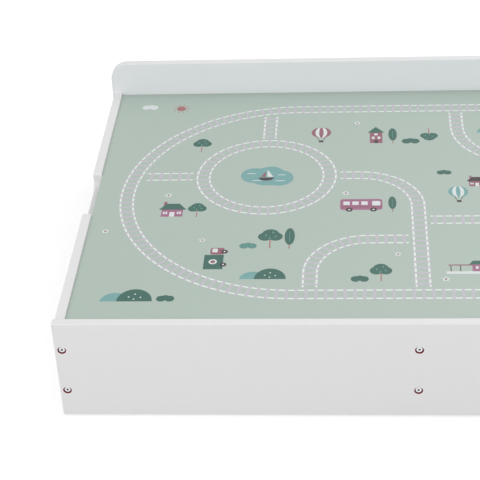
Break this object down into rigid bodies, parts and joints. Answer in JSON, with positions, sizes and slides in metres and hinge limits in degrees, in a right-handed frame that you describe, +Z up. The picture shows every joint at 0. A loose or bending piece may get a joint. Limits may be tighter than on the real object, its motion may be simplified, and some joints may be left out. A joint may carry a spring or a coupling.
{
  "type": "play table",
  "caption": "Low rectangular play table: a bolted panel box with a raised rear panel, notched sides and a lift-off play board over two storage bays.",
  "frame": {"origin": "centre of the table's footprint, on the floor under the glides", "axes": "+X along the table's length to the right, +Y from the front panel to the raised rear panel, +Z up"},
  "size_m": [1.2, 0.8, 0.26],
  "materials": {
    "white_lacquer": "white satin lacquer on fibreboard",
    "white_sheet": "white-faced thin hardboard",
    "printed_board": "satin printed face on fibreboard, sage green",
    "pine_ledge": "planed pine",
    "beech_dowel": "fluted beech",
    "bolt_steel": "bright nickel plate",
    "nut_zinc": "yellow-passivated zinc plate",
    "screw_zinc": "bright zinc plate",
    "nail_steel": "plain steel",
    "glide_plastic": "matt moulded plastic"
  },
  "bodies": {
    "frame": {"front_panel": "white_lacquer", "rear_panel": "white_lacquer", "left_side_panel": "white_lacquer", "right_side_panel": "white_lacquer", "centre_divider": "white_lacquer", "left_base_sheet": "white_sheet", "right_base_sheet": "white_sheet", "front_left_ledge": "pine_ledge", "front_right_ledge": "pine_ledge", "rear_left_ledge": "pine_ledge", "rear_right_ledge": "pine_ledge", "left_front_ledge": "pine_ledge", "left_rear_ledge": "pine_ledge", "right_front_ledge": "pine_ledge", "right_rear_ledge": "pine_ledge", "front_bolts": "bolt_steel", "rear_bolts": "bolt_steel", "barrel_nuts": "nut_zinc", "wooden_dowels": "beech_dowel", "ledge_screws": "screw_zinc", "floor_glides": "glide_plastic", "glide_nails": "nail_steel"},
    "board": {"play_board": "printed_board"}
  },
  "joints": [
    {"name": "board_lift", "type": "slide", "parent": "frame", "child": "board", "axis": [0, 0, 1], "range_m": [0, 0.2]}
  ]
}
